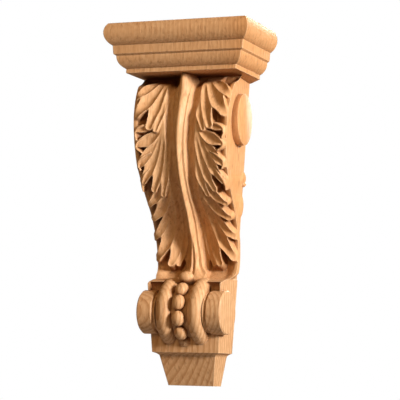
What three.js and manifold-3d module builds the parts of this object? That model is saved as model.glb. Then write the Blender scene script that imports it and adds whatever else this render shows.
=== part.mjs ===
// Carved wooden bracket capital: a keystone-shaped body with an S-curved front that carries an
// acanthus leaf, a moulded cap on top, a beaded scroll below the leaf and a tapered foot.
// The whole ornament is cut from one block of wood, so it is one solid.
// Millimetres, +Z up, the front faces -Y and the flat back lies in the plane y = 0.

import * as THREE from 'three';
import { mergeVertices } from 'three/addons/utils/BufferGeometryUtils.js';
import Module from 'manifold-3d';

// Heights are measured up from the underside of the foot. Depths are measured out from the back.
const HEIGHT = 250;

// Cap: its lowest arris is a rectangle on plan, and every moulding is an offset from that.
const CAP_HALF_WIDTH = 41;
const CAP_DEPTH = 47.5;
const CAP_NECK_INSET = 6.5;
const CAP_NECK_FRONT_INSET = 17;
const CAP_NECK_SIDE_Z = 213.4;
const CAP_NECK_FRONT_Z = 215.4;
const CAP_ARRIS_Z = 216.1;
const CAP_ARRIS_TOP_Z = 219.6;
const CAP_OVOLO_TOP_Z = 227.6;
const CAP_OVOLO_START = 1.1;
const CAP_OVOLO_OUT = 5.4;
const CAP_FILLET_BOTTOM_Z = 228.7;
const CAP_FILLET_TOP_Z = 235;
const CAP_FILLET_OUT = 7;
const CAP_ROLL_START = 8.2;
const CAP_ROLL_MID_Z = 242.6;
const CAP_ROLL_OUT = 12.6;
const CAP_TOP_OUT = 10.1;

// Front of the body: a shoulder, a belly and a throat, three arcs that meet without a kink.
const APEX_Z = 178;
const APEX_DEPTH = 48;
const SHOULDER_RADIUS = 55;
const BELLY_RADIUS = 82;
const THROAT_Z = 84;
const THROAT_DEPTH = 12;
const SWEEP_RADIUS = 10.5;

// Sides of the body: straight planes that draw in towards the foot, and the leaf overhangs them.
const CORE_HALF_WIDTH = 24.6;
const CORE_REF_Z = 22.8;
const CORE_TAPER = 0.0465;
const LEAF_HALF_WIDTH = 30.2;
const LEAF_REF_Z = 83;
const LEAF_TAPER = 0.0485;
const LEAF_EDGE_DEPTH = 10;
const BODY_BOTTOM_Z = 71;
const BODY_TOP_Z = 217.5;
const LEAF_FOOT_TUCK = 2.3;

// Acanthus relief.
const RELIEF = 5;
const EDGE_WALL = 1.3;
const FLUTE_SHARE = 0.5;
const TIP_RISE = 1.5;
const TIP_TAPER = 0.45;
const FINGER_WEB = 2.4;
const PLATEAU_INNER = 3.4;
const PLATEAU_OUTER = 4.3;
const RIM_LOW = 0.4;
const RIM_HIGH = 2.8;
const EDGE_REACH = 6;
const EDGE_DROP = 1.7;
const GROUND_FLOOR = -2.8;
const TOP_TUCK = 6;
const VALLEY_HEIGHT = 0;
const VALLEY_RADIUS = 4.6;
const VALLEY_INNER_RADIUS = 0.9;
const VALLEY_OFFSET = 1.8;
const MIDRIB_HALF_WIDTH = 3.4;
const MIDRIB_TOP_FLARE = 3.2;
const MIDRIB_FOOT_FLARE = 2.2;
const MIDRIB_FAN = 9;
const MIDRIB_HEIGHT = 7;
const MIDRIB_THROAT_RISE = 1.4;
const MIDRIB_TOP_RISE = 6;
const MIDRIB_WALL_SLOPE = 5;

// Lower block, the cove under it and the foot: half-widths and depths.
const LEDGE = { z: 69.4, halfWidth: 27.3, depth: 31.3 };
const LEDGE_ROUND = 5;
const LEDGE_BACK = { halfWidth: 27.5, depth: 16 };
const BLOCK_BOTTOM = { z: 22.8, halfWidth: 24.7, depth: 26.4 };
const FOOT_TOP = { z: 19.7, halfWidth: 20.6, depth: 21.8 };
const FOOT_BOTTOM = { z: 0, halfWidth: 16.9, depth: 14.1 };

// Scroll: a plain roll across the block, with a strap of two fat rings and a string of beads.
const ROLL_Z = 50.5;
const ROLL_DEPTH = 26.3;
const ROLL_RADIUS = 15.2;
const ROLL_HALF_LENGTH = 31.2;
const ROLL_GROOVE_OFFSET = 19.5;
const ROLL_GROOVE_RADIUS = 13.7;
const ROLL_NECK_OFFSET = 17;
const ROLL_NECK_RADIUS = 8;
const POCKET_Z = 67.4;
const POCKET_DEPTH = 29.6;
const POCKET_RADIUS = 4.2;
const POCKET_HALF_LENGTH = 26.4;
const CHANNEL_HALF_WIDTH = 16.5;
const CHANNEL_BACK = 23.5;
const CHANNEL_BOTTOM_Z = 58;
const STRAP_Z = 51;
const STRAP_DEPTH = 19.5;
const RING_OFFSET = 11.7;
const RING_RADIUS = 17.7;
const RING_TUBE = 6.1;
const BEAD_BED_RADIUS = 19.4;
const BEAD_RING_RADIUS = 21.2;
const BEAD_FIRST_ANGLE = 45;
const BEAD_PITCH = 29.75;
const BEAD_COUNT = 5;
const BEAD_SIZE = { across: 4.6, along: 5.4, out: 4 };
const KNOB_ANGLE = 72;
const KNOB_RING_RADIUS = 25;
const KNOB_SIZE = { across: 5.4, along: 5, out: 4 };

// Round boss and the end of a scroll on each side.
const BOSS_Z = 185.8;
const BOSS_DEPTH = 16.2;
const BOSS_HALF_DEPTH = 15.6;
const BOSS_HALF_HEIGHT = 18.5;
const BOSS_FACE = 36.8;
const TAIL_SUNK = 3;
const TAILS = [
  { z: 127, halfHeight: 10.5, depth: 6.5, out: 1.4 },
  { z: 146, halfHeight: 6.2, depth: 7.5, out: 1.9 },
  { z: 141.6, halfHeight: 2.4, depth: 3.4, out: 2.3 },
];

// Mesh steps.
const LEAF_COLUMNS = 42;
const LEAF_ROWS = 68;
const ARC_STEPS = 6;
const ROLL_STEPS = 32;
const RING_STEPS = 32;
const BOSS_STEPS = 40;
const BEAD_STEPS = 10;
const BEAD_RINGS = 7;
const POCKET_STEPS = 16;
const TAIL_STEPS = 12;
const TAIL_RINGS = 8;
const AXIS_STEPS = 14;
const MEAN_REACH = 0.5;

// Leaf lobes from the cap downwards. Each flute is a hollow gouge cut that runs from its root over a
// bend to its tip, given as [distance from the middle, height], with the half-width at the root and
// where it is widest.
const LOBES = [
  [
    { root: [19.5, 213], bend: [26, 206], tip: [35, 199.6], width: [1.8, 3.9] },
    { root: [16, 212], bend: [22.5, 200], tip: [32.4, 187], width: [1.8, 5.6] },
    { root: [14, 211], bend: [17, 196], tip: [22.4, 177.8], width: [1.6, 4.4] },
    { root: [11.4, 208], bend: [12, 192], tip: [17.6, 175.4], width: [1.3, 2.7] },
  ],
  [
    { root: [19, 178], bend: [25, 177.6], tip: [32.8, 175], width: [1.4, 2.7] },
    { root: [14.5, 177], bend: [19.5, 168], tip: [32.6, 165.6], width: [1.6, 4.1] },
  ],
  [
    { root: [15.4, 173], bend: [18, 158], tip: [32.3, 148.6], width: [1.9, 4.5] },
    { root: [13, 172], bend: [14.5, 152], tip: [28.8, 138.2], width: [1.9, 4.9] },
    { root: [10, 170], bend: [9.8, 149], tip: [17, 132.4], width: [1.8, 3.2] },
  ],
  [
    { root: [14, 141], bend: [19, 131.5], tip: [28.6, 125.4], width: [1.7, 2.9] },
    { root: [11, 139], bend: [16, 123.5], tip: [28.4, 116.2], width: [1.9, 3.5] },
  ],
  [
    { root: [12.8, 130], bend: [17, 112], tip: [30.8, 103.2], width: [1.8, 3.5] },
    { root: [10.6, 131], bend: [14.6, 107], tip: [28.8, 89.6], width: [1.8, 4.6] },
    { root: [8.8, 131], bend: [10.6, 104], tip: [18.4, 85.4], width: [1.8, 4.2] },
    { root: [7.4, 124], bend: [6.8, 100], tip: [13.4, 84.8], width: [1.3, 2.4] },
  ],
];

const clamp = THREE.MathUtils.clamp;
const lerp = THREE.MathUtils.lerp;
const smoothstep = THREE.MathUtils.smoothstep;

// Belly and throat arcs touch each other, which sets the throat's radius.
const bellyCentre = APEX_DEPTH - BELLY_RADIUS;
const arcRise = APEX_Z - THROAT_Z;
const arcRun = THROAT_DEPTH - bellyCentre;
const throatRadius = (arcRun ** 2 + arcRise ** 2 - BELLY_RADIUS ** 2) / (2 * (BELLY_RADIUS - arcRun));
const throatCentre = THROAT_DEPTH + throatRadius;
const inflectionZ = APEX_Z - arcRise * BELLY_RADIUS / (BELLY_RADIUS + throatRadius);

// Half the chord of a circle at a distance from its middle.
function chord(radius, distance) {
  return Math.sqrt(Math.max(radius ** 2 - distance ** 2, 0));
}

// Depth of the leaf's crest along the middle of the front.
function frontDepth(z) {
  if (z > APEX_Z) {
    return APEX_DEPTH - SHOULDER_RADIUS + chord(SHOULDER_RADIUS, z - APEX_Z);
  }
  if (z > inflectionZ) {
    return bellyCentre + chord(BELLY_RADIUS, z - APEX_Z);
  }
  if (z > THROAT_Z) {
    return throatCentre - chord(throatRadius, z - THROAT_Z);
  }
  return THROAT_DEPTH + SWEEP_RADIUS - chord(SWEEP_RADIUS, Math.min(THROAT_Z - z, SWEEP_RADIUS));
}

function coreHalfWidth(z) {
  return CORE_HALF_WIDTH + (z - CORE_REF_Z) * CORE_TAPER;
}

function leafHalfWidth(z) {
  const tuck = LEAF_FOOT_TUCK * (1 - smoothstep(z, BODY_BOTTOM_Z + 2.5, BODY_BOTTOM_Z + 8.5));
  return LEAF_HALF_WIDTH + (z - LEAF_REF_Z) * LEAF_TAPER - tuck;
}

// Smaller or larger of two heights with a rounded change from one to the other.
function softMin(a, b, width) {
  const blend = clamp(0.5 + 0.5 * (b - a) / width, 0, 1);
  return lerp(b, a, blend) - width * blend * (1 - blend);
}

function softMax(a, b, width) {
  return -softMin(-a, -b, width);
}

// Axis of a flute as evenly spaced points, each with its share of the way and its half-width.
function fluteAxis({ root, bend, tip, width }) {
  const curve = new THREE.QuadraticBezierCurve(
    new THREE.Vector2(...root), new THREE.Vector2(...bend), new THREE.Vector2(...tip));
  return curve.getPoints(AXIS_STEPS).map((point, i) => {
    const share = i / AXIS_STEPS;
    const taper = 1 - TIP_TAPER * smoothstep(share, 0.6, 1);
    return { point, share, width: lerp(width[0], width[1], smoothstep(share, 0, 0.65)) * taper };
  });
}

const lobeAxes = LOBES.map((lobe) => lobe.map(fluteAxis));

// Nearest place on a flute's axis: the distance to it, the share of the way and the half-width.
function nearestOnFlute(axis, x, z) {
  let best = { distance: Infinity, share: 0, width: 0 };
  for (let i = 0; i < axis.length - 1; i += 1) {
    const start = axis[i];
    const end = axis[i + 1];
    const runX = end.point.x - start.point.x;
    const runZ = end.point.y - start.point.y;
    const along = (x - start.point.x) * runX + (z - start.point.y) * runZ;
    const part = clamp(along / (runX ** 2 + runZ ** 2), 0, 1);
    const distance = Math.hypot(x - start.point.x - part * runX, z - start.point.y - part * runZ);
    if (distance < best.distance) {
      best = {
        distance,
        share: lerp(start.share, end.share, part),
        width: lerp(start.width, end.width, part),
      };
    }
  }
  return best;
}

// One lobe at a place: how far inside it the place is, how much its tips rise and how deep it is fluted.
function lobeAt(axes, x, z) {
  let inside = -100;
  let nearest = -100;
  let rise = 0;
  let cut = 0;
  for (const axis of axes) {
    const { distance, share, width } = nearestOnFlute(axis, x, z);
    if (width - distance > nearest) {
      nearest = width - distance;
      rise = TIP_RISE * share ** 1.5;
    }
    inside = softMax(inside, width - distance, FINGER_WEB);
    const depth = FLUTE_SHARE * width * smoothstep(share, 0, 0.25);
    cut = Math.max(cut, depth * Math.max(1 - (distance / width) ** 2, 0));
  }
  return { inside, rise, cut };
}

function midribHalfWidth(z) {
  return MIDRIB_HALF_WIDTH + MIDRIB_TOP_FLARE * smoothstep(z, 150, 208)
    + MIDRIB_FOOT_FLARE * (1 - smoothstep(z, 84, 102)) + MIDRIB_FAN * (1 - smoothstep(z, 72, 86));
}

// Round midrib, highest where it meets the cap, with steep sides.
function midribHeight(x, z) {
  const half = midribHalfWidth(z);
  const throat = MIDRIB_THROAT_RISE * Math.exp(-(((z - 104) / 15) ** 2));
  const crest = MIDRIB_HEIGHT + throat + MIDRIB_TOP_RISE * smoothstep(z, 199, 214);
  const crown = crest * Math.max(1 - (x / half) ** 2, 0) ** 0.8;
  return crown - MIDRIB_WALL_SLOPE * Math.max(x - half, 0);
}

// Long gouge cut beside the midrib.
function valleyHeight(x, z) {
  const offset = x - midribHalfWidth(z) - VALLEY_OFFSET;
  const radius = offset > 0 ? VALLEY_RADIUS : VALLEY_INNER_RADIUS;
  return VALLEY_HEIGHT + offset ** 2 / (2 * radius);
}

// Distance from the middle to which the blade has no gaps between its lobes.
function webEdge(z) {
  return 15 + 10 * smoothstep(z, 190, 198) - 6 * (1 - smoothstep(z, 84, 104));
}

// Leaf relief above its ground at one place of the front.
function carvedRelief(side, z) {
  const x = Math.abs(side);
  const half = leafHalfWidth(z);
  const edge = clamp((x - half + EDGE_REACH) / EDGE_REACH, 0, 1) ** 2.4;
  const plateau = lerp(PLATEAU_INNER, PLATEAU_OUTER, smoothstep(x, 12, 28)) - EDGE_DROP * edge;
  const web = softMin(plateau, valleyHeight(x, z), 0.8);
  const rim = lerp(RIM_LOW, RIM_HIGH, smoothstep(z, 132, 155));
  const ground = lerp(GROUND_FLOOR, rim, smoothstep(x, half - 9, half - 1.5));
  let blade = lerp(ground, web, smoothstep(webEdge(z) - x, -1.2, 0.6));
  for (const axes of lobeAxes.toReversed()) {
    const { inside, rise, cut } = lobeAt(axes, x, z);
    const lift = rise * smoothstep(inside, -2.2, 0.6);
    const lobe = web + (lift - cut) * (1 - 0.75 * edge);
    blade = lerp(blade, lobe, smoothstep(inside, -EDGE_WALL, 0.1));
  }
  blade -= TOP_TUCK * smoothstep(z, 204, 215);
  const height = Math.max(blade, midribHeight(x, z), GROUND_FLOOR);
  return height * smoothstep(z, BODY_BOTTOM_Z, THROAT_Z);
}

// Mean relief round a place, so that a facet's corner doesn't fall into a narrow cut by chance.
function leafRelief(x, z) {
  let sum = 0;
  for (const across of [-1, 0, 1]) {
    for (const up of [-1, 0, 1]) {
      sum += carvedRelief(x + across * MEAN_REACH, z + up * MEAN_REACH);
    }
  }
  return sum / 9;
}

// A point of the front, lifted off the ground square to the S-curve.
function frontPoint(x, z) {
  const step = 0.05;
  const slope = (frontDepth(z + step) - frontDepth(z - step)) / (2 * step);
  const length = Math.hypot(1, slope);
  const lift = leafRelief(x, z) - RELIEF * smoothstep(z, BODY_BOTTOM_Z, THROAT_Z);
  return new THREE.Vector3(x, -frontDepth(z) - lift / length, z - lift * slope / length);
}

// Closed mesh through a stack of loops that run anticlockwise seen from above. Each four-sided step
// folds along its shorter diagonal, so that the folds follow the arrises.
function loft(loops) {
  const size = loops[0].length;
  const positions = loops.flat().flatMap((point) => [point.x, point.y, point.z]);
  const index = [];
  for (let row = 0; row < loops.length - 1; row += 1) {
    for (let i = 0; i < size; i += 1) {
      const next = (i + 1) % size;
      const low = row * size;
      const high = low + size;
      const rising = loops[row][i].distanceTo(loops[row + 1][next]);
      const falling = loops[row][next].distanceTo(loops[row + 1][i]);
      if (rising <= falling) {
        index.push(low + i, low + next, high + next, low + i, high + next, high + i);
      } else {
        index.push(low + i, low + next, high + i, low + next, high + next, high + i);
      }
    }
  }
  const top = (loops.length - 1) * size;
  const flat = (loop) => loop.map((point) => new THREE.Vector2(point.x, point.y));
  for (const [a, b, c] of THREE.ShapeUtils.triangulateShape(flat(loops[0]), [])) {
    index.push(a, c, b);
  }
  for (const [a, b, c] of THREE.ShapeUtils.triangulateShape(flat(loops[loops.length - 1]), [])) {
    index.push(top + a, top + b, top + c);
  }
  const geometry = new THREE.BufferGeometry();
  geometry.setAttribute('position', new THREE.Float32BufferAttribute(positions, 3));
  geometry.setIndex(index);
  return geometry;
}

// Rectangle on plan with its rear side on the back plane.
function planRectangle(halfWidth, depth, z) {
  return [
    new THREE.Vector3(-halfWidth, 0, z),
    new THREE.Vector3(-halfWidth, -depth, z),
    new THREE.Vector3(halfWidth, -depth, z),
    new THREE.Vector3(halfWidth, 0, z),
  ];
}

// Points on the circular arc through three places, the first one left out.
function arcThrough(start, middle, end, steps) {
  const a = start.distanceTo(middle);
  const b = middle.distanceTo(end);
  const c = end.distanceTo(start);
  const cross = (middle.x - start.x) * (end.y - start.y) - (middle.y - start.y) * (end.x - start.x);
  const radius = a * b * c / (2 * Math.abs(cross));
  const chordMiddle = start.clone().add(end).multiplyScalar(0.5);
  const across = new THREE.Vector2(end.y - start.y, start.x - end.x).normalize();
  const bulge = Math.sign(middle.clone().sub(chordMiddle).dot(across));
  const centre = chordMiddle.addScaledVector(across, -bulge * chord(radius, c / 2));
  const from = Math.atan2(start.y - centre.y, start.x - centre.x);
  const to = Math.atan2(end.y - centre.y, end.x - centre.x);
  return Array.from({ length: steps }, (_, i) => {
    const angle = lerp(from, to, (i + 1) / steps);
    return new THREE.Vector2(centre.x + radius * Math.cos(angle), centre.y + radius * Math.sin(angle));
  });
}

// Cap: the moulding's section as [offset, height], mitred round the front and both sides.
function capGeometry() {
  const at = (offset, z) => new THREE.Vector2(offset, z);
  const ovoloStart = at(CAP_OVOLO_START, CAP_ARRIS_TOP_Z);
  const ovoloEnd = at(CAP_OVOLO_OUT, CAP_OVOLO_TOP_Z);
  const ovoloMiddle = at(CAP_OVOLO_OUT - 1.1, lerp(CAP_ARRIS_TOP_Z, CAP_OVOLO_TOP_Z, 0.42));
  const rollStart = at(CAP_ROLL_START, CAP_FILLET_TOP_Z);
  const rollMiddle = at(CAP_ROLL_OUT, CAP_ROLL_MID_Z);
  const rollEnd = at(CAP_TOP_OUT, HEIGHT);
  const section = [
    at(0, CAP_ARRIS_Z),
    at(0, CAP_ARRIS_TOP_Z - 0.6),
    ovoloStart,
    ...arcThrough(ovoloStart, ovoloMiddle, ovoloEnd, ARC_STEPS),
    at(CAP_FILLET_OUT, CAP_FILLET_BOTTOM_Z),
    at(CAP_FILLET_OUT + 0.5, CAP_FILLET_TOP_Z - 0.4),
    rollStart,
    ...arcThrough(rollStart, rollMiddle, rollEnd, 2 * ARC_STEPS),
  ];
  const neckHalf = CAP_HALF_WIDTH - CAP_NECK_INSET;
  const neck = planRectangle(neckHalf, CAP_DEPTH - CAP_NECK_FRONT_INSET, CAP_NECK_SIDE_Z);
  neck[1].z = CAP_NECK_FRONT_Z;
  neck[2].z = CAP_NECK_FRONT_Z;
  return loft([neck, ...section.map(({ x, y }) => planRectangle(CAP_HALF_WIDTH + x, CAP_DEPTH + x, y))]);
}

// Body with the leaf: each level runs down the left side, across the front and back up the right.
function bodyGeometry() {
  const loops = [];
  for (let row = 0; row <= LEAF_ROWS; row += 1) {
    const z = lerp(BODY_BOTTOM_Z, BODY_TOP_Z, row / LEAF_ROWS);
    const core = coreHalfWidth(z);
    const half = leafHalfWidth(z);
    const shelf = -Math.max(frontDepth(z) - LEAF_EDGE_DEPTH, 1);
    const front = [];
    for (let column = 0; column <= LEAF_COLUMNS; column += 1) {
      front.push(frontPoint(lerp(-half, half, column / LEAF_COLUMNS), z));
    }
    loops.push([
      new THREE.Vector3(-core, 0, z),
      new THREE.Vector3(-core, shelf, z),
      new THREE.Vector3(-half, shelf - 1, z),
      ...front,
      new THREE.Vector3(half, shelf - 1, z),
      new THREE.Vector3(core, shelf, z),
      new THREE.Vector3(core, 0, z),
    ]);
  }
  return loft(loops);
}

// Foot, hollow cove and lower block with its rounded ledge in one stack of rectangles.
function baseGeometry() {
  const levels = [FOOT_BOTTOM, FOOT_TOP];
  for (let i = 1; i <= ARC_STEPS; i += 1) {
    const angle = Math.PI / 2 * i / ARC_STEPS;
    const out = 1 - Math.cos(angle);
    levels.push({
      z: lerp(FOOT_TOP.z, BLOCK_BOTTOM.z, Math.sin(angle)),
      halfWidth: lerp(FOOT_TOP.halfWidth, BLOCK_BOTTOM.halfWidth, out),
      depth: lerp(FOOT_TOP.depth, BLOCK_BOTTOM.depth, out),
    });
  }
  for (let i = 0; i <= ARC_STEPS; i += 1) {
    const angle = Math.PI / 2 * i / ARC_STEPS;
    levels.push({
      z: LEDGE.z + LEDGE_ROUND * Math.sin(angle),
      halfWidth: lerp(LEDGE_BACK.halfWidth, LEDGE.halfWidth, Math.cos(angle)),
      depth: lerp(LEDGE_BACK.depth, LEDGE.depth, Math.cos(angle)),
    });
  }
  return loft(levels.map(({ halfWidth, depth, z }) => planRectangle(halfWidth, depth, z)));
}

// Solid of revolution about an axis along X at a depth and height, from [radius, x] points.
function turned(section, depth, z, steps) {
  const points = section.map(([radius, x]) => new THREE.Vector2(radius, x));
  return new THREE.LatheGeometry(points, steps).rotateZ(-Math.PI / 2).translate(0, -depth, z);
}

// Roll with a groove beside the strap.
function rollGeometry() {
  const half = [
    [0, ROLL_HALF_LENGTH],
    [ROLL_RADIUS - 0.9, ROLL_HALF_LENGTH],
    [ROLL_RADIUS, ROLL_HALF_LENGTH - 0.9],
    [ROLL_RADIUS, ROLL_GROOVE_OFFSET + 1.1],
    [ROLL_GROOVE_RADIUS, ROLL_GROOVE_OFFSET],
    [ROLL_GROOVE_RADIUS + 0.9, ROLL_GROOVE_OFFSET - 1.9],
    [ROLL_NECK_RADIUS, ROLL_NECK_OFFSET],
  ];
  const mirrored = half.map(([radius, x]) => [radius, -x]);
  return turned([...mirrored, ...half.reverse()], ROLL_DEPTH, ROLL_Z, ROLL_STEPS);
}

// Gouge cut under the ledge, behind the top of the roll.
function pocketGeometry() {
  const section = [
    [0, -POCKET_HALF_LENGTH],
    [POCKET_RADIUS, -POCKET_HALF_LENGTH],
    [POCKET_RADIUS, POCKET_HALF_LENGTH],
    [0, POCKET_HALF_LENGTH],
  ];
  return turned(section, POCKET_DEPTH, POCKET_Z, POCKET_STEPS);
}

// Room in the block for the upper end of the strap.
function channelGeometry() {
  const reach = 2 * LEDGE.depth - CHANNEL_BACK;
  const high = 2 * LEDGE_ROUND + LEDGE.z - CHANNEL_BOTTOM_Z;
  return new THREE.BoxGeometry(2 * CHANNEL_HALF_WIDTH, reach, high)
    .translate(0, -CHANNEL_BACK - reach / 2, CHANNEL_BOTTOM_Z + high / 2);
}

// Strap: two rings with round sections and a channel between them for the beads.
function strapGeometry() {
  const halfChannel = RING_OFFSET - chord(RING_TUBE, BEAD_BED_RADIUS - RING_RADIUS);
  const ring = (side) => {
    const outline = [];
    for (let i = 0; i <= 2 * ARC_STEPS; i += 1) {
      const angle = Math.PI * (1 - i / (2 * ARC_STEPS));
      const x = side + RING_TUBE * Math.cos(angle);
      if (Math.abs(x) > halfChannel) {
        outline.push([RING_RADIUS + RING_TUBE * Math.sin(angle), x]);
      }
    }
    return outline;
  };
  const left = [[0, -RING_OFFSET - RING_TUBE], ...ring(-RING_OFFSET), [BEAD_BED_RADIUS, -halfChannel]];
  const right = [[BEAD_BED_RADIUS, halfChannel], ...ring(RING_OFFSET), [0, RING_OFFSET + RING_TUBE]];
  return turned([...left, ...right], STRAP_DEPTH, STRAP_Z, RING_STEPS);
}

// Egg-shaped bead on the strap's channel at an angle above the horizontal.
function beadGeometry(degrees, ringRadius, { across, along, out }) {
  const angle = THREE.MathUtils.degToRad(degrees);
  return new THREE.SphereGeometry(1, BEAD_STEPS, BEAD_RINGS)
    .scale(across, out, along)
    .rotateX(-angle)
    .translate(0, -STRAP_DEPTH - ringRadius * Math.cos(angle), STRAP_Z + ringRadius * Math.sin(angle));
}

// Both bosses in one oval cylinder right through the body.
function bossGeometry() {
  return new THREE.CylinderGeometry(1, 1, 2 * BOSS_FACE, BOSS_STEPS)
    .rotateZ(Math.PI / 2)
    .scale(1, BOSS_HALF_DEPTH, BOSS_HALF_HEIGHT)
    .translate(0, -BOSS_DEPTH, BOSS_Z);
}

// Swelling of the side scroll's end at the back edge.
function tailGeometry(side, { z, halfHeight, depth, out }) {
  return new THREE.SphereGeometry(1, TAIL_STEPS, TAIL_RINGS)
    .rotateX(Math.PI / 2)
    .scale(out + TAIL_SUNK, depth, halfHeight)
    .translate(side * (coreHalfWidth(z) - TAIL_SUNK), 0, z);
}

const wasm = await Module();
wasm.setup();

// Closed solid from a geometry whose shared vertices are merged.
function solid(geometry) {
  const bare = geometry.clone();
  bare.deleteAttribute('normal');
  bare.deleteAttribute('uv');
  const merged = mergeVertices(bare, 1e-4);
  return new wasm.Manifold(new wasm.Mesh({
    numProp: 3,
    vertProperties: new Float32Array(merged.attributes.position.array),
    triVerts: new Uint32Array(merged.index.array),
  }));
}

// The back plane cuts off whatever a round form would push through it.
function behindTheBack() {
  const deep = 60;
  return new THREE.BoxGeometry(4 * CAP_HALF_WIDTH, deep, 3 * HEIGHT).translate(0, deep / 2, HEIGHT / 2);
}

function capitalGeometry() {
  const beads = Array.from({ length: BEAD_COUNT }, (_, i) =>
    beadGeometry(BEAD_FIRST_ANGLE - i * BEAD_PITCH, BEAD_RING_RADIUS, BEAD_SIZE));
  const pieces = [
    capGeometry(),
    bodyGeometry(),
    rollGeometry(),
    strapGeometry(),
    bossGeometry(),
    beadGeometry(KNOB_ANGLE, KNOB_RING_RADIUS, KNOB_SIZE),
    ...beads,
    ...[-1, 1].flatMap((side) => TAILS.map((tail) => tailGeometry(side, tail))),
  ];
  const base = solid(baseGeometry()).subtract(solid(pocketGeometry())).subtract(solid(channelGeometry()));
  const joined = pieces.map(solid).reduce((whole, piece) => whole.add(piece), base);
  const mesh = joined.subtract(solid(behindTheBack())).getMesh();
  const geometry = new THREE.BufferGeometry();
  geometry.setAttribute('position', new THREE.BufferAttribute(new Float32Array(mesh.vertProperties), 3));
  geometry.setIndex(new THREE.BufferAttribute(new Uint32Array(mesh.triVerts), 1));
  return geometry;
}

const wood = new THREE.MeshStandardMaterial({ color: '#c49464', roughness: 0.62, metalness: 0 });
const capital = new THREE.Mesh(capitalGeometry(), wood);
capital.name = 'capital';
capital.position.z = -HEIGHT / 2;

const bracket = new THREE.Group();
bracket.add(capital);

export default bracket;
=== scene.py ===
"""Carved wooden bracket capital: fine carving, wood, studio light and camera.

Sizes are in millimetres above the foot's underside and out from the flat back, and become metres in the
part's frame when a mesh is made. The front faces -Y and the back lies in y = 0. A span is the pair of
values between which a change takes place.
"""

import math

import bmesh
import bpy
import numpy as np
from mathutils import Matrix, Vector


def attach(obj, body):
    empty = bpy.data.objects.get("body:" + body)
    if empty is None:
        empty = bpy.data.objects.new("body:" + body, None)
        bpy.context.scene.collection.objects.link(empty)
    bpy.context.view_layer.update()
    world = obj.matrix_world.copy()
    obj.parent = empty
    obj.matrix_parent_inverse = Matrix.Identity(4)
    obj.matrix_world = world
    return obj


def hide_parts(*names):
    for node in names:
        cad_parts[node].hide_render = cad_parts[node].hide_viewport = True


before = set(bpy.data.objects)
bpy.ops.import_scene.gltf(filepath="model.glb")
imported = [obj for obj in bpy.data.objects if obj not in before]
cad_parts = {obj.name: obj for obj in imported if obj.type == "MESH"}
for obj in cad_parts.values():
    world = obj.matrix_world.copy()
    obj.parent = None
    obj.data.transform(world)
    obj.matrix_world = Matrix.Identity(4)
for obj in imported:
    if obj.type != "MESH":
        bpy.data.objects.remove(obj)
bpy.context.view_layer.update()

MM = 0.001
HEIGHT = 250.0

# Cap mouldings: offsets from the rectangle of the lowest arris, with heights.
CAP_HALF_WIDTH = 41.0
CAP_DEPTH = 47.5
CAP_NECK_INSET = 6.5
CAP_NECK_FRONT_INSET = 17.0
CAP_NECK_SIDE_Z = 213.4
CAP_NECK_FRONT_Z = 215.4
CAP_FILLET = ((0.0, 216.1), (0.0, 219.0))
CAP_OVOLO = ((1.1, 219.6), (4.3, 223.0), (5.4, 227.6))
CAP_OVOLO_STEPS = 14
CAP_BAND = ((7.0, 228.7), (7.5, 234.6))
CAP_ROLL = ((8.2, 235.0), (12.6, 242.6), (10.1, 250.0))
CAP_ROLL_STEPS = 28

# Front of the body: shoulder, belly and throat arcs.
APEX_Z = 178.0
APEX_DEPTH = 48.0
SHOULDER_RADIUS = 55.0
BELLY_RADIUS = 82.0
THROAT_Z = 84.0
THROAT_DEPTH = 12.0
SWEEP_RADIUS = 10.5

# Sides of the body.
CORE_HALF_WIDTH = 24.6
CORE_REF_Z = 22.8
CORE_TAPER = 0.0465
LEAF_HALF_WIDTH = 30.2
LEAF_REF_Z = 83.0
LEAF_TAPER = 0.0485
LEAF_FOOT_TUCK = 2.3
LEAF_FOOT_SPAN = (73.5, 79.5)
LEAF_EDGE_DEPTH = 10.0
LEAF_EDGE_BEVEL = 1.0
SHELF_MIN_DEPTH = 1.0
BODY_BOTTOM_Z = 71.0
BODY_TOP_Z = 217.5

# Acanthus blade: plateau, edge, ground in the gaps and drop under the cap.
RELIEF = 5.0
PLATEAU_HEIGHT = 3.4
PLATEAU_RISE = 0.9
PLATEAU_SPAN = (12.0, 28.0)
EDGE_REACH = 6.0
EDGE_POWER = 2.4
EDGE_DROP = 1.7
EDGE_FADE = 0.75
GROUND_FLOOR = -2.8
GROUND_REACH = 9.0
GROUND_RIM = 1.5
RIM_FOOT_HEIGHT = 0.4
RIM_RISE = 2.4
RIM_SPAN = (132.0, 155.0)
WEB_HALF_WIDTH = 15.0
WEB_TOP_GAIN = 10.0
WEB_TOP_SPAN = (190.0, 198.0)
WEB_FOOT_LOSS = 6.0
WEB_FOOT_SPAN = (84.0, 104.0)
WEB_BORDER = (-1.2, 0.6)
LEAF_TOP_DROP = 4.5
LEAF_TOP_SPAN = (208.0, 217.0)

# Flutes and the fingers between them.
FLUTE_SHARE = 0.5
FLUTE_FADE = 0.25
FLUTE_WIDENS = 0.65
TIP_START = 0.6
TIP_TAPER = 0.45
TIP_RISE = 1.5
TIP_RISE_POWER = 1.5
FINGER_WEB = 2.4
LOBE_BORDER = (-1.3, 0.1)
LIFT_BORDER = (-2.2, 0.6)

# Valleys beside the midrib.
VALLEY_OFFSET = 3.6
VALLEY_RADIUS = 3.4
VALLEY_SPREAD = 9.0
VALLEY_SPREAD_SPAN = (90.0, 122.0)
VALLEY_INNER_RADIUS = 0.9
VALLEY_BLEND = 0.8

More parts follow.
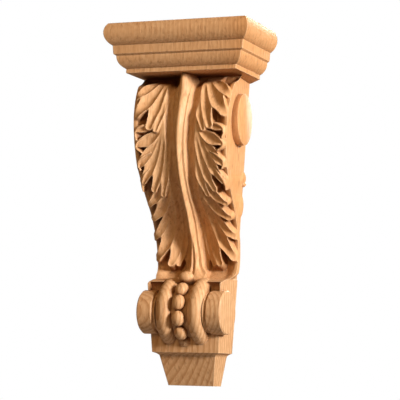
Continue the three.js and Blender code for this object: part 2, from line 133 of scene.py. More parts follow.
# Midrib.
MIDRIB_HALF_WIDTH = 1.7
MIDRIB_TOP_FLARE = 2.6
MIDRIB_TOP_FLARE_SPAN = (150.0, 208.0)
MIDRIB_FOOT_FLARE = 1.9
MIDRIB_FOOT_FLARE_SPAN = (84.0, 102.0)
MIDRIB_FAN = 9.0
MIDRIB_FAN_SPAN = (72.0, 86.0)
MIDRIB_HEIGHT = 6.2
MIDRIB_THROAT_RISE = 2.0
MIDRIB_THROAT_Z = 109.0
MIDRIB_THROAT_REACH = 13.0
MIDRIB_TOP_RISE = 6.0
MIDRIB_TOP_RISE_SPAN = (199.0, 214.0)
MIDRIB_LEAN = -1.0
MIDRIB_SWAY = 1.2
MIDRIB_SWAY_SPAN = (160.0, 196.0)
MIDRIB_ROUND = 0.9
MIDRIB_CROWN_POWER = 0.8
MIDRIB_WALL_SLOPE = 5.0
MIDRIB_GROOVE_DEPTH = 1.7
MIDRIB_GROOVE_WIDTH = 1.1
MIDRIB_GROOVE_SPAN = (94.0, 112.0)
MIDRIB_BLEND = 0.4

# Steps of the leaf's mesh.
LEAF_COLUMNS = 168
LEAF_ROWS = 380
FLUTE_STEPS = 24
SLOPE_STEP = 0.05

# Lobes from the cap downwards. A flute runs from its root over a bend to its tip, each given as the
# distance from the middle and the height, and then come the half-widths at the root and where it is
# widest.
LOBES = (
    (
        ((19.5, 213), (26, 206), (35, 199.6), 1.8, 3.9),
        ((16, 212), (22.5, 200), (32.4, 187), 1.8, 5.6),
        ((14, 211), (17, 196), (22.4, 177.8), 1.6, 4.4),
        ((11.4, 208), (12, 192), (17.6, 175.4), 1.3, 2.7),
    ),
    (
        ((19, 178), (25, 177.6), (32.8, 175), 1.4, 2.7),
        ((14.5, 177), (19.5, 168), (32.6, 165.6), 1.6, 4.1),
    ),
    (
        ((16, 173), (19.5, 160), (32.6, 150.8), 1.8, 3.8),
        ((14.2, 173), (17, 155), (30.2, 140.2), 1.8, 3.9),
        ((12.2, 172), (13.4, 152), (22.6, 135.2), 1.8, 3.5),
        ((10, 170), (9.6, 149), (16.6, 131.6), 1.7, 2.8),
    ),
    (
        ((14, 141), (19, 131.5), (28.6, 125.4), 1.7, 2.9),
        ((11, 139), (16, 123.5), (28.4, 116.2), 1.9, 3.5),
    ),
    (
        ((12.8, 130), (17, 112), (30.8, 103.2), 1.8, 3.5),
        ((10.6, 131), (14.6, 107), (28.8, 89.6), 1.8, 4.6),
        ((8.8, 131), (10.6, 104), (18.4, 85.4), 1.8, 4.2),
        ((7.4, 124), (6.8, 100), (13.4, 84.8), 1.3, 2.4),
    ),
)

# Curled rims at the leaf's edge, given as the flutes are.
RUFFLE_RISE = 1.7
RUFFLE_FALL = 3.2
RUFFLE_FADE = 0.3
RUFFLE_BLEND = 0.4
RUFFLES = (
    ((22, 179), (36.8, 178.4), (31.9, 168.7), 1.0, 2.1),
    ((26.7, 169.4), (38, 164.8), (28.1, 160.2), 1.0, 2.0),
    ((22.3, 159.5), (35.8, 154.7), (30.4, 148.3), 1.0, 2.1),
    ((24.3, 148.4), (32.4, 141.2), (31, 134.1), 1.0, 2.1),
)

# Foot, cove and lower block, with its ledge, as height, half-width and depth.
BASE_LEVELS = (
    (0.0, 16.9, 14.1),
    (19.7, 20.6, 21.8),
    (20.9, 21.0, 22.2),
    (21.9, 22.2, 23.6),
    (22.5, 23.6, 25.2),
    (22.8, 24.7, 26.4),
    (40.0, 25.7, 28.1),
    (64.0, 27.0, 30.7),
    (69.4, 27.3, 31.3),
    (70.5, 27.4, 30.9),
    (71.4, 27.4, 29.4),
    (72.4, 27.4, 26.4),
    (73.6, 27.5, 21.6),
    (74.4, 27.5, 16.0),
)

# Scroll: half of the drum's section as radius and distance from the middle.
ROLL_Z = 50.5
ROLL_DEPTH = 26.3
ROLL_SECTION = (
    (0.0, 31.2),
    (14.3, 31.2),
    (15.2, 30.3),
    (15.2, 20.6),
    (14.8, 20.1),
    (13.7, 19.5),
    (14.3, 18.7),
    (14.6, 17.6),
    (8.0, 16.8),
)
ROLL_STEPS = 128

# Gouges under the ledge and the room for the strap's upper end.
POCKET_Z = 67.4
POCKET_DEPTH = 29.6
POCKET_RADIUS = 4.2
POCKET_HALF_LENGTH = 26.4
POCKET_STEPS = 48
CHANNEL_HALF_WIDTH = 16.5
CHANNEL_BACK = 23.5
CHANNEL_FRONT = 60.0
CHANNEL_BOTTOM_Z = 58.0
CHANNEL_TOP_Z = 80.0

# Strap of two rings with beads between them and a knob at the top.
STRAP_Z = 51.0
STRAP_DEPTH = 19.5
STRAP_STEPS = 144
RING_OFFSET = 11.7
RING_RADIUS = 17.7
RING_TUBE = 6.1
RING_TUBE_STEPS = 32
STRAP_FLOOR_RADIUS = 19.4
BEAD_RING_RADIUS = 21.2
BEAD_ANGLES = (45.0, 16.0, -14.0, -45.0, -74.0)
BEAD_SIZE = (4.6, 4.0, 5.4)
BEAD_STEPS = (28, 18)
KNOB_ANGLE = 72.0
KNOB_RING_RADIUS = 25.0
KNOB_SIZE = (5.4, 4.0, 5.0)

# Side boss, with its edge as shares of the radius and setbacks from the face.
BOSS_Z = 185.3
BOSS_DEPTH = 16.2
BOSS_HALF_DEPTH = 14.2
BOSS_HALF_HEIGHT = 18.0
BOSS_FACE = 36.8
BOSS_EDGE = ((0.975, 0.0), (0.992, 0.15), (1.0, 0.5))
BOSS_STEPS = 120

# Bulges of the side scroll's end at the back edge: height, half-height, depth and projection.
TAILS = (
    (127.0, 10.5, 6.5, 1.4),
    (146.0, 6.2, 7.5, 1.9),
    (141.6, 2.4, 3.4, 2.3),
)
TAIL_SUNK = 3.0
TAIL_STEPS = (40, 24)

# Block that trims what stands behind the flat back.
TRIM_DEPTH = 60.0
TRIM_HALF_WIDTH = 100.0
TRIM_BOTTOM_Z = -50.0
TRIM_TOP_Z = 300.0

ARRIS_DEGREES = 38.0

# Wood colours, with the painted crest highlight and hollow shade.
WOOD_PALE = (0.76, 0.465, 0.25, 1.0)
WOOD_WARM = (0.72, 0.36, 0.15, 1.0)
WOOD_RING = (0.46, 0.195, 0.065, 1.0)
# Painted highlight colour for open crests.
PAINTED_CREST_HIGHLIGHT = (0.84, 0.60, 0.38, 1.0)
WOOD_FLECK = (0.30, 0.115, 0.04, 1.0)
# Painted shade colour for hollows.
PAINTED_HOLLOW_SHADE = (0.22, 0.075, 0.02, 1.0)

# Growth rings in metres: heart of the tree in plan, width of a year's growth, and how far it wavers.
HEART = (-0.048, -0.094)
RING_SPACING = 0.0027
RING_WARP = 0.012
LATE_START = (0.35, 0.9)
LATE_END = (0.93, 1.0)
RING_TINT_LOW = 0.6
RING_TINT_HIGH = 0.11
RING_TINT_Z = (-0.07, -0.04)

# Noises of the wood as scale, detail and stretch along the axes.
WARP_NOISE = (16.0, 3.0, (1.0, 1.0, 0.3))
FIBRE_NOISE = (900.0, 3.0, (1.0, 1.0, 0.06))
CLOUD_NOISE = (22.0, 3.0, (1.0, 1.0, 0.35))
FLECK_NOISE = (620.0, 1.0, (1.0, 1.0, 0.16))
MOTTLE_NOISE = (420.0, 2.0, (1.0, 1.0, 0.5))

# Where each noise colours the wood, and how much.
CLOUD_SPAN = (0.3, 0.7)
CLOUD_WARMTH = 0.3
# Warmer on the upper part, far from the heart.
WARM_UPPER_RADIUS = (0.085, 0.108)
WARM_UPPER_Z = (-0.07, 0.0)
WARM_UPPER_STRENGTH = 0.7
FIBRE_SPAN = (0.35, 0.75)
FIBRE_TINT = 0.30
MOTTLE_SPAN = (0.42, 0.66)
MOTTLE_TINT = 0.22
FLECK_SPAN = (0.60, 0.68)
FLECK_TINT = 0.35

# Painted highlight on open crests and painted shade in hollows.
CREST_RADIUS = 0.0013
CREST_TURN = (0.8, 0.99)
CREST_OPEN = (0.45, 0.8)
CREST_HIGHLIGHT_TINT = 0.6
HOLLOW_REACH = 0.012
HOLLOW_SPAN = (0.15, 0.85)
HOLLOW_SHADE_TINT = 0.85
BEVEL_SAMPLES = 6
HOLLOW_SAMPLES = 8

# Surface of the wood.
ARRIS_RADIUS = 0.0005
FIBRE_RELIEF = 0.5
RING_RELIEF = 0.35
MOTTLE_RELIEF = 0.5
BUMP_STRENGTH = 0.35
BUMP_DISTANCE = 0.0004
ROUGH_SPAN = (0.3, 0.7)
ROUGHNESS = (0.48, 0.62)
SPECULAR = 0.3

# Lights as name, place, size, power and colour, all aimed at one place.
LIGHTS = (
    ("key", (1.34, -0.50, 0.32), 0.32, 2.7, (1.0, 0.98, 0.94)),
    ("fill", (0.1, -1.2, 0.75), 0.4, 0.38, (1.0, 0.7, 0.34)),
    ("back", (-0.1, 1.35, 0.45), 0.6, 2.2, (1.0, 0.96, 0.9)),
)
LIGHT_TARGET = (0.0, -0.02, 0.0)
LIGHT_SPREAD_DEGREES = 50.0
AMBIENT_COLOUR = (1.0, 0.56, 0.2, 1.0)
AMBIENT_STRENGTH = 0.09
BACKDROP_COLOUR = (1.0, 1.0, 1.0, 1.0)
BACKDROP_STRENGTH = 1.0

# Floor, in metres.
FLOOR_HALF = 3.0
FLOOR_Z = -0.48
FLOOR_COLOUR = (0.82, 0.82, 0.82, 1.0)
FLOOR_GLOW = (0.92, 0.92, 0.91, 1.0)
FLOOR_ROUGHNESS = 0.8

# Camera, fitted to the cap, the block and the foot.
CAMERA_AZIMUTH = 22.13
CAMERA_DISTANCE = 1257.25
CAMERA_Z = 7.11
CAMERA_TARGET = (-2.31, 0.0, 131.28)
CAMERA_ROLL = 1.413
CAMERA_LENS = 160.245
CAMERA_SENSOR = 36.0


def smoothstep(value, low, high):
    share = np.clip((value - low) / (high - low), 0.0, 1.0)
    return share * share * (3.0 - 2.0 * share)


def fall(value, span):
    return 1.0 - smoothstep(value, *span)


def soft_min(a, b, width):
    blend = np.clip(0.5 + 0.5 * (b - a) / width, 0.0, 1.0)
    return b + (a - b) * blend - width * blend * (1.0 - blend)


def soft_max(a, b, width):
    return -soft_min(-a, -b, width)


def chord(radius, distance):
    return np.sqrt(np.maximum(radius ** 2 - distance ** 2, 0.0))


BELLY_CENTRE = APEX_DEPTH - BELLY_RADIUS
ARC_RISE = APEX_Z - THROAT_Z
ARC_RUN = THROAT_DEPTH - BELLY_CENTRE
THROAT_RADIUS = (ARC_RUN ** 2 + ARC_RISE ** 2 - BELLY_RADIUS ** 2) / (2 * (BELLY_RADIUS - ARC_RUN))
THROAT_CENTRE = THROAT_DEPTH + THROAT_RADIUS
INFLECTION_Z = APEX_Z - ARC_RISE * BELLY_RADIUS / (BELLY_RADIUS + THROAT_RADIUS)


def front_depth(z):
    """Depth of the leaf's crest along the middle of the front."""
    shoulder = APEX_DEPTH - SHOULDER_RADIUS + chord(SHOULDER_RADIUS, z - APEX_Z)
    belly = BELLY_CENTRE + chord(BELLY_RADIUS, z - APEX_Z)
    throat = THROAT_CENTRE - chord(THROAT_RADIUS, z - THROAT_Z)
    below = np.clip(THROAT_Z - z, 0.0, SWEEP_RADIUS)
    sweep = THROAT_DEPTH + SWEEP_RADIUS - chord(SWEEP_RADIUS, below)
    lower = np.where(z > THROAT_Z, throat, sweep)
    return np.where(z > APEX_Z, shoulder, np.where(z > INFLECTION_Z, belly, lower))


def core_half_width(z):
    return CORE_HALF_WIDTH + (z - CORE_REF_Z) * CORE_TAPER


def leaf_half_width(z):
    foot = LEAF_FOOT_TUCK * fall(z, LEAF_FOOT_SPAN)
    return LEAF_HALF_WIDTH + (z - LEAF_REF_Z) * LEAF_TAPER - foot


def flute_field(flute, x, z):
    """Distance to a flute's axis, the share of the way along it and the half-width there."""
    root, bend, tip, root_width, wide = flute
    share = np.linspace(0.0, 1.0, FLUTE_STEPS + 1)[:, None]
    corners = [np.array(corner, dtype=float) for corner in (root, bend, tip)]
    axis = (1 - share) ** 2 * corners[0] + 2 * share * (1 - share) * corners[1] + share ** 2 * corners[2]
    best = np.full(x.shape, np.inf)
    where = np.zeros(x.shape)
    for i in range(FLUTE_STEPS):
        start = axis[i]
        run = axis[i + 1] - start
        part = ((x - start[0]) * run[0] + (z - start[1]) * run[1]) / (run @ run)
        part = np.clip(part, 0.0, 1.0)
        distance = np.hypot(x - start[0] - part * run[0], z - start[1] - part * run[1])
        nearer = distance < best
        best = np.where(nearer, distance, best)
        where = np.where(nearer, (i + part) / FLUTE_STEPS, where)
    width = root_width + (wide - root_width) * smoothstep(where, 0.0, FLUTE_WIDENS)
    return best, where, width * (1.0 - TIP_TAPER * smoothstep(where, TIP_START, 1.0))


def lobe_fields(lobe, x, z):
    """How far a place is inside a lobe, how much the lobe rises there and how deep it is fluted."""
    inside = np.full(x.shape, -100.0)
    nearest = inside
    rise = np.zeros(x.shape)
    cut = np.zeros(x.shape)
    for flute in lobe:
        distance, share, width = flute_field(flute, x, z)
        nearer = width - distance > nearest
        nearest = np.where(nearer, width - distance, nearest)
        inside = soft_max(inside, width - distance, FINGER_WEB)
        rise = np.where(nearer, TIP_RISE * share ** TIP_RISE_POWER, rise)
        depth = FLUTE_SHARE * width * smoothstep(share, 0.0, FLUTE_FADE)
        cut = np.maximum(cut, depth * np.maximum(1.0 - (distance / width) ** 2, 0.0))
    return inside, rise, cut


def midrib_half_width(z):
    top = MIDRIB_TOP_FLARE * smoothstep(z, *MIDRIB_TOP_FLARE_SPAN)
    foot = MIDRIB_FOOT_FLARE * fall(z, MIDRIB_FOOT_FLARE_SPAN)
    fan = MIDRIB_FAN * fall(z, MIDRIB_FAN_SPAN)
    return MIDRIB_HALF_WIDTH + top + foot + fan


def midrib_crest(z):
    throat = MIDRIB_THROAT_RISE * np.exp(-(((z - MIDRIB_THROAT_Z) / MIDRIB_THROAT_REACH) ** 2))
    return MIDRIB_HEIGHT + throat + MIDRIB_TOP_RISE * smoothstep(z, *MIDRIB_TOP_RISE_SPAN)


def midrib_middle(z):
    return MIDRIB_SWAY * smoothstep(z, *MIDRIB_SWAY_SPAN) + MIDRIB_LEAN


def midrib_height(side, z):
    x = np.abs(side - midrib_middle(z))
    half = midrib_half_width(z) + MIDRIB_ROUND
    across = np.minimum(x / half, 1.0)
    crown = midrib_crest(z) * np.maximum(1.0 - across ** 2, 0.0) ** MIDRIB_CROWN_POWER
    groove = MIDRIB_GROOVE_DEPTH * np.exp(-((x / MIDRIB_GROOVE_WIDTH) ** 2)) * fall(z, MIDRIB_GROOVE_SPAN)
    return crown - groove - MIDRIB_WALL_SLOPE * np.maximum(x - half, 0.0)


def valley_height(x, z):
    offset = x - midrib_half_width(z) - VALLEY_OFFSET
    outer = VALLEY_RADIUS + VALLEY_SPREAD * fall(z, VALLEY_SPREAD_SPAN)
    radius = np.where(offset > 0, outer, VALLEY_INNER_RADIUS)
    return offset ** 2 / (2 * radius)


def web_edge(z):
    """Distance from the middle to which the blade has no gaps."""
    top = WEB_TOP_GAIN * smoothstep(z, *WEB_TOP_SPAN)
    return WEB_HALF_WIDTH + top - WEB_FOOT_LOSS * fall(z, WEB_FOOT_SPAN)


def leaf_web(x, z, edge):
    """Blade without flutes, with the valleys beside the midrib."""
    plateau = PLATEAU_HEIGHT + PLATEAU_RISE * smoothstep(x, *PLATEAU_SPAN) - EDGE_DROP * edge
    return soft_min(plateau, valley_height(x, z), VALLEY_BLEND)


def leaf_ground(x, z):
    """Bottom of the gaps between lobes, which rises to a rim at the leaf's edge."""
    half = leaf_half_width(z)
    rim = RIM_FOOT_HEIGHT + RIM_RISE * smoothstep(z, *RIM_SPAN)
    return GROUND_FLOOR + (rim - GROUND_FLOOR) * smoothstep(x, half - GROUND_REACH, half - GROUND_RIM)


def curl_rims(blade, web, x, z):
    for ruffle in RUFFLES:
        distance, share, width = flute_field(ruffle, x, z)
        crown = web + RUFFLE_RISE * smoothstep(share, 0.0, RUFFLE_FADE)
        blade = soft_max(blade, crown - RUFFLE_FALL * (distance / width) ** 2, RUFFLE_BLEND)
    return blade


def leaf_relief(side, z):
    """Leaf relief above its ground."""
    x = np.abs(side)
    edge = np.clip((x - leaf_half_width(z) + EDGE_REACH) / EDGE_REACH, 0.0, 1.0) ** EDGE_POWER
    web = leaf_web(x, z, edge)
    ground = leaf_ground(x, z)
    blade = ground + (web - ground) * smoothstep(web_edge(z) - x, *WEB_BORDER)
    for lobe in reversed(LOBES):
        inside, rise, cut = lobe_fields(lobe, x, z)
        wall = smoothstep(inside, *LOBE_BORDER)
        lift = rise * smoothstep(inside, *LIFT_BORDER)
        blade = blade + (web + (lift - cut) * (1.0 - EDGE_FADE * edge) - blade) * wall
    blade = curl_rims(blade, web, x, z) - LEAF_TOP_DROP * smoothstep(z, *LEAF_TOP_SPAN)
    height = soft_max(blade, midrib_height(side, z), MIDRIB_BLEND)
    return np.maximum(height, GROUND_FLOOR) * smoothstep(z, BODY_BOTTOM_Z, THROAT_Z)


def make_mesh(name, points, faces):
    """Mesh object from points in millimetres."""
    points = np.asarray(points, dtype=float)
    placed = (points - np.array([0.0, 0.0, HEIGHT / 2])) * MM
    mesh = bpy.data.meshes.new(name)
    mesh.from_pydata(placed.tolist(), [], [list(map(int, face)) for face in faces])
    mesh.update()
    piece = bpy.data.objects.new(name, mesh)
    bpy.context.collection.objects.link(piece)
    return piece


def loft(name, loops):
    """Closed mesh through a stack of loops that run anticlockwise seen from above."""
    rows = len(loops)
    size = len(loops[0])
    points = np.concatenate([np.asarray(loop, dtype=float) for loop in loops])
    faces = []
    for row in range(rows - 1):
        low = row * size
        high = low + size
        for i in range(size):
            after = (i + 1) % size
            faces.append((low + i, low + after, high + after, high + i))
    faces.append(tuple(reversed(range(size))))
    faces.append(tuple((rows - 1) * size + i for i in range(size)))
    return make_mesh(name, points, faces)


def plan_rectangle(half_width, depth, z):
    return [(-half_width, 0, z), (-half_width, -depth, z), (half_width, -depth, z), (half_width, 0, z)]


def box(name, half_width, front, back, bottom, top):
    """Upright block between two depths along Y."""
    plan = [(-half_width, back), (-half_width, front), (half_width, front), (half_width, back)]
    return loft(name, [[(x, y, z) for x, y in plan] for z in (bottom, top)])


def leaf_front():
    """Grid of the carved front, displaced along the normal of its profile, and the grid's heights."""
    levels = np.linspace(BODY_BOTTOM_Z, BODY_TOP_Z, LEAF_ROWS + 1)
    across = np.linspace(-1.0, 1.0, LEAF_COLUMNS + 1)
    z = np.repeat(levels[:, None], LEAF_COLUMNS + 1, axis=1)
    x = across[None, :] * leaf_half_width(z)
    slope = (front_depth(z + SLOPE_STEP) - front_depth(z - SLOPE_STEP)) / (2 * SLOPE_STEP)
    length = np.hypot(1.0, slope)
    lift = leaf_relief(x, z) - RELIEF * smoothstep(z, BODY_BOTTOM_Z, THROAT_Z)
    front = np.stack([x, -front_depth(z) - lift / length, z - lift * slope / length], axis=-1)
    return front, levels


def body_piece():
    front, levels = leaf_front()
    loops = []
    for row, level in enumerate(levels):
        core = core_half_width(level)
        half = leaf_half_width(level)
        shelf = -max(float(front_depth(level)) - LEAF_EDGE_DEPTH, SHELF_MIN_DEPTH)
        lip = shelf - LEAF_EDGE_BEVEL
        left = [(-core, 0, level), (-core, shelf, level), (-half, lip, level)]
        right = [(half, lip, level), (core, shelf, level), (core, 0, level)]
        loops.append(left + front[row].tolist() + right)
    return loft("body", loops)


def arc(start, middle, end, steps):
    """Points on the circle through three places, without the first."""
    (ax, ay), (bx, by), (cx, cy) = start, middle, end
    d = 2 * (ax * (by - cy) + bx * (cy - ay) + cx * (ay - by))
    a2 = ax * ax + ay * ay
    b2 = bx * bx + by * by
    c2 = cx * cx + cy * cy
    ux = (a2 * (by - cy) + b2 * (cy - ay) + c2 * (ay - by)) / d
    uy = (a2 * (cx - bx) + b2 * (ax - cx) + c2 * (bx - ax)) / d
    radius = math.hypot(ax - ux, ay - uy)
    first = math.atan2(ay - uy, ax - ux)
    last = math.atan2(cy - uy, cx - ux)
    angles = [first + (last - first) * (i + 1) / steps for i in range(steps)]
    return [(ux + radius * math.cos(t), uy + radius * math.sin(t)) for t in angles]


def cap_piece():
    section = [*CAP_FILLET, CAP_OVOLO[0]]
    section += arc(*CAP_OVOLO, CAP_OVOLO_STEPS)
    section += [*CAP_BAND, CAP_ROLL[0]]
    section += arc(*CAP_ROLL, CAP_ROLL_STEPS)
    half = CAP_HALF_WIDTH - CAP_NECK_INSET
    front = -(CAP_DEPTH - CAP_NECK_FRONT_INSET)
    neck = [(-half, 0, CAP_NECK_SIDE_Z), (-half, front, CAP_NECK_FRONT_Z)]
    neck += [(half, front, CAP_NECK_FRONT_Z), (half, 0, CAP_NECK_SIDE_Z)]
    loops = [plan_rectangle(CAP_HALF_WIDTH + offset, CAP_DEPTH + offset, z) for offset, z in section]
    return loft("cap", [neck] + loops)


def base_piece():
    return loft("base", [plan_rectangle(half, depth, z) for z, half, depth in BASE_LEVELS])


def turned(name, section, depth, z, steps):
    """Solid of revolution about an axis along X, from radius and x pairs that start and end on the axis."""
    points = [(section[0][1], -depth, z)]
    for radius, x in section[1:-1]:
        for i in range(steps):
            angle = 2 * math.pi * i / steps
            points.append((x, -depth + radius * math.cos(angle), z + radius * math.sin(angle)))
    points.append((section[-1][1], -depth, z))
    last = len(points) - 1
    faces = []
    rings = len(section) - 2
    for i in range(steps):
        after = (i + 1) % steps
        faces.append((0, 1 + after, 1 + i))
        for ring in range(rings - 1):
            low = 1 + ring * steps
            faces.append((low + i, low + after, low + steps + after, low + steps + i))
        low = 1 + (rings - 1) * steps
        faces.append((low + i, low + after, last))
    return make_mesh(name, points, faces)


def mirrored(right):
    """Whole section from its right half."""
    return [(radius, -x) for radius, x in right] + list(right)[::-1]


def roll_piece():
    return turned("roll", mirrored(ROLL_SECTION), ROLL_DEPTH, ROLL_Z, ROLL_STEPS)


def pocket_piece():
    """Gouge under the ledge, behind the top of the scroll."""
    section = [(0.0, -POCKET_HALF_LENGTH), (POCKET_RADIUS, -POCKET_HALF_LENGTH)]
    section += [(POCKET_RADIUS, POCKET_HALF_LENGTH), (0.0, POCKET_HALF_LENGTH)]
    return turned("pocket", section, POCKET_DEPTH, POCKET_Z, POCKET_STEPS)


def channel_piece():
    """Room in the block for the strap's upper end."""
    return box("channel", CHANNEL_HALF_WIDTH, -CHANNEL_FRONT, -CHANNEL_BACK, CHANNEL_BOTTOM_Z, CHANNEL_TOP_Z)


def strap_piece():
    half_floor = RING_OFFSET - float(chord(RING_TUBE, STRAP_FLOOR_RADIUS - RING_RADIUS))
    ring = []
    for i in range(RING_TUBE_STEPS + 1):
        angle = math.pi * i / RING_TUBE_STEPS
        x = RING_OFFSET + RING_TUBE * math.cos(angle)
        if x > half_floor:
            ring.append((RING_RADIUS + RING_TUBE * math.sin(angle), x))
    right = [(0.0, RING_OFFSET + RING_TUBE)] + ring + [(STRAP_FLOOR_RADIUS, half_floor)]
    return turned("strap", mirrored(right), STRAP_DEPTH, STRAP_Z, STRAP_STEPS)


def ellipsoid(name, steps, transform):
    """Ball of one millimetre's radius after a transform."""
    mesh = bpy.data.meshes.new(name)
    shape = bmesh.new()
    bmesh.ops.create_uvsphere(shape, u_segments=steps[0], v_segments=steps[1], radius=MM)
    shape.transform(transform)
    shape.to_mesh(mesh)
    shape.free()
    piece = bpy.data.objects.new(name, mesh)
    bpy.context.collection.objects.link(piece)
    return piece


def bead_piece(degrees, ring_radius, size):
    angle = math.radians(degrees)
    depth = STRAP_DEPTH + ring_radius * math.cos(angle)
    z = STRAP_Z + ring_radius * math.sin(angle) - HEIGHT / 2
    place = Matrix.Translation(Vector((0.0, -depth * MM, z * MM)))
    turn = Matrix.Rotation(-angle, 4, "X")
    return ellipsoid("bead", BEAD_STEPS, place @ turn @ Matrix.Diagonal((*size, 1.0)))


def tail_piece(side, z, half_height, depth, out):
    middle = side * (float(core_half_width(z)) - TAIL_SUNK)
    place = Matrix.Translation(Vector((middle, 0.0, z - HEIGHT / 2)) * MM)
    return ellipsoid("tail", TAIL_STEPS, place @ Matrix.Diagonal((out + TAIL_SUNK, depth, half_height, 1.0)))


def boss_loop(radius, x):
    """Oval of the boss at a share of its radius."""
    loop = []
    for i in range(BOSS_STEPS):
        angle = 2 * math.pi * i / BOSS_STEPS
        y = -BOSS_DEPTH + BOSS_HALF_DEPTH * radius * math.cos(angle)
        loop.append((x, y, BOSS_Z + BOSS_HALF_HEIGHT * radius * math.sin(angle)))
    return loop


def boss_piece():
    """One bar across the body, so that a boss stands out on both sides."""
    right = [(radius, BOSS_FACE - setback) for radius, setback in BOSS_EDGE]
    left = [(radius, -x) for radius, x in reversed(right)]
    points = []
    for radius, x in right + left:
        points += boss_loop(radius, x)
    last = len(points) - BOSS_STEPS
    faces = [tuple(range(BOSS_STEPS)), tuple(reversed(range(last, len(points))))]
    for upper in range(0, last, BOSS_STEPS):
        lower = upper + BOSS_STEPS
        for i in range(BOSS_STEPS):
            after = (i + 1) % BOSS_STEPS
            faces.append((upper + i, lower + i, lower + after, upper + after))
    return make_mesh("boss", points, faces)


def back_cutter():
    return box("cutter", TRIM_HALF_WIDTH, 0.0, TRIM_DEPTH, TRIM_BOTTOM_Z, TRIM_TOP_Z)


def combine(base, other, operation):
    """Boolean of two closed meshes; the second one is used up."""
    modifier = base.modifiers.new("join", "BOOLEAN")
    modifier.operation = operation
    modifier.solver = "MANIFOLD"
    modifier.object = other
    graph = bpy.context.evaluated_depsgraph_get()
    result = bpy.data.meshes.new_from_object(base.evaluated_get(graph))
    base.modifiers.clear()
    base.data = result
    bpy.data.objects.remove(other)


def soften(mesh):
    """Smooth shading that keeps the arrises."""
    shape = bmesh.new()
    shape.from_mesh(mesh)
    bmesh.ops.triangulate(shape, faces=shape.faces[:])
    limit = math.radians(ARRIS_DEGREES)
    for face in shape.faces:
        face.smooth = True
    for edge in shape.edges:
        edge.smooth = len(edge.link_faces) == 2 and edge.calc_face_angle(0.0) < limit
    shape.to_mesh(mesh)
    shape.free()


def carve():
    """The whole ornament as one closed mesh."""
    whole = body_piece()
    base = base_piece()
    combine(base, pocket_piece(), "DIFFERENCE")
    combine(base, channel_piece(), "DIFFERENCE")
    parts = [cap_piece(), base, roll_piece(), strap_piece(), boss_piece()]
    parts += [bead_piece(angle, BEAD_RING_RADIUS, BEAD_SIZE) for angle in BEAD_ANGLES]
    parts.append(bead_piece(KNOB_ANGLE, KNOB_RING_RADIUS, KNOB_SIZE))
    parts += [tail_piece(side, *tail) for side in (-1, 1) for tail in TAILS]
    for part in parts:
        combine(whole, part, "UNION")
    combine(whole, back_cutter(), "DIFFERENCE")
    whole.name = "carving"
    whole.data.name = "carving"
    soften(whole.data)
    return whole


class Shading:
    """Short ways to add nodes to a material's tree."""

    def __init__(self, tree):
        self.nodes = tree.nodes
        self.links = tree.links
        self.place = self.node("ShaderNodeTexCoord").outputs["Object"]

    def node(self, kind, **settings):
        made = self.nodes.new(kind)
        for name, value in settings.items():
            setattr(made, name, value)
        return made

    def feed(self, targets, sources):
        for target, source in zip(targets, sources):
            if isinstance(source, bpy.types.NodeSocket):
                self.links.new(source, target)
            else:
                target.default_value = source

    def maths(self, operation, *sources):
        made = self.node("ShaderNodeMath", operation=operation)
        self.feed(made.inputs, sources)
        return made.outputs[0]

    def span(self, value, span, bottom=0.0, top=1.0):
        made = self.node("ShaderNodeMapRange", interpolation_type="SMOOTHSTEP")
        self.feed(made.inputs, (value, *span, bottom, top))
        return made.outputs[0]

    def noise(self, scale, detail, stretch):
        placed = self.node("ShaderNodeMapping")
        self.feed((placed.inputs["Vector"], placed.inputs["Scale"]), (self.place, stretch))
        made = self.node("ShaderNodeTexNoise")
        targets = [made.inputs[name] for name in ("Vector", "Scale", "Detail")]
        self.feed(targets, (placed.outputs["Vector"], scale, detail))
        return made.outputs["Fac"]

    def tint(self, factor, first, second):
        made = self.node("ShaderNodeMix", data_type="RGBA")
        self.feed([made.inputs[name] for name in ("Factor", "A", "B")], (factor, first, second))
        return made.outputs["Result"]

    def rounded(self, radius):
        made = self.node("ShaderNodeBevel", samples=BEVEL_SAMPLES)
        made.inputs["Radius"].default_value = radius
        return made.outputs["Normal"]


def growth_rings(kit, split):
    """Distance from the heart and the strength of the late wood."""
    warp = kit.maths("MULTIPLY_ADD", kit.noise(*WARP_NOISE), RING_WARP, -RING_WARP / 2)
    across = kit.maths("SUBTRACT", kit.maths("ADD", split.outputs["X"], warp), HEART[0])
    along = kit.maths("SUBTRACT", split.outputs["Y"], HEART[1])
    squares = [kit.maths("MULTIPLY", run, run) for run in (across, along)]
    radius = kit.maths("SQRT", kit.maths("ADD", *squares))
    phase = kit.maths("FRACT", kit.maths("DIVIDE", radius, RING_SPACING))
    late = kit.maths("MULTIPLY", kit.span(phase, LATE_START), kit.span(phase, LATE_END, 1.0, 0.0))
    return radius, late


def grain_colour(kit, split, radius, late, fibre, mottle):
    """Colour of the wood before light, painted highlight and painted shade."""
    height = split.outputs["Z"]
    # Warmer towards the top and far from the heart.
    warm_upper = kit.maths("MULTIPLY", kit.span(radius, WARM_UPPER_RADIUS), kit.span(height, WARM_UPPER_Z))
    cloud = kit.span(kit.noise(*CLOUD_NOISE), CLOUD_SPAN)
    warmth = kit.maths("MULTIPLY_ADD", cloud, CLOUD_WARMTH, kit.maths("MULTIPLY", warm_upper, WARM_UPPER_STRENGTH))
    base = kit.tint(warmth, WOOD_PALE, WOOD_WARM)
    bold = kit.span(height, RING_TINT_Z, RING_TINT_LOW, RING_TINT_HIGH)
    base = kit.tint(kit.maths("MULTIPLY", late, bold), base, WOOD_RING)
    base = kit.tint(kit.maths("MULTIPLY", kit.span(fibre, FIBRE_SPAN), FIBRE_TINT), base, WOOD_RING)
    base = kit.tint(kit.maths("MULTIPLY", kit.span(mottle, MOTTLE_SPAN), MOTTLE_TINT), base, WOOD_RING)
    fleck = kit.span(kit.noise(*FLECK_NOISE), FLECK_SPAN)
    return kit.tint(kit.maths("MULTIPLY", fleck, FLECK_TINT), base, WOOD_FLECK)


